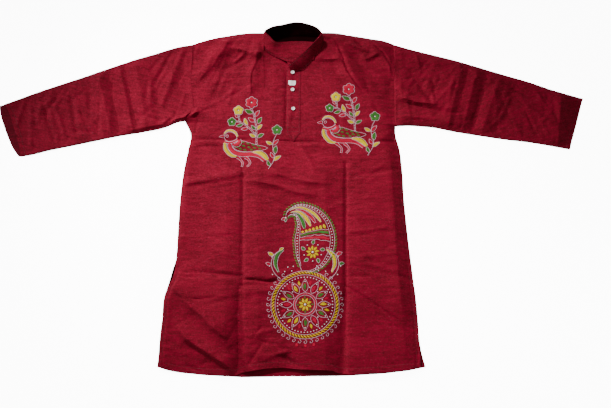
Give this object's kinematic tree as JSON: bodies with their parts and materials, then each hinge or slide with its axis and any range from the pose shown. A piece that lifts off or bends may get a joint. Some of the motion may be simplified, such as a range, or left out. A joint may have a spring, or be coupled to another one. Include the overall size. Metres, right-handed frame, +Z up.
{
  "type": "kurta tunic",
  "caption": "Long-sleeved kurta tunic laid out flat: band collar, short pointed placket with buttons, wide spread sleeves and side slits at the hem.",
  "frame": {"origin": "on the surface that the garment lies on, at the middle of its footprint", "axes": "+X towards the wearer's left sleeve, +Y from the hem towards the collar, +Z up off the surface"},
  "size_m": [1.5776, 0.953, 0.0387],
  "materials": {
    "cloth": "crimson handloom cotton, matte, slubbed plain weave",
    "label": "white woven tape, blank",
    "button": "pearly white, polished"
  },
  "bodies": {
    "root": {"back_panel": "cloth", "front_panel": "cloth", "sleeve_left": "cloth", "sleeve_right": "cloth", "collar_band": "cloth", "placket_under": "cloth", "placket_upper": "cloth", "placket_label": "label", "button_1": "button", "button_2": "button", "button_3": "button"}
  },
  "joints": []
}
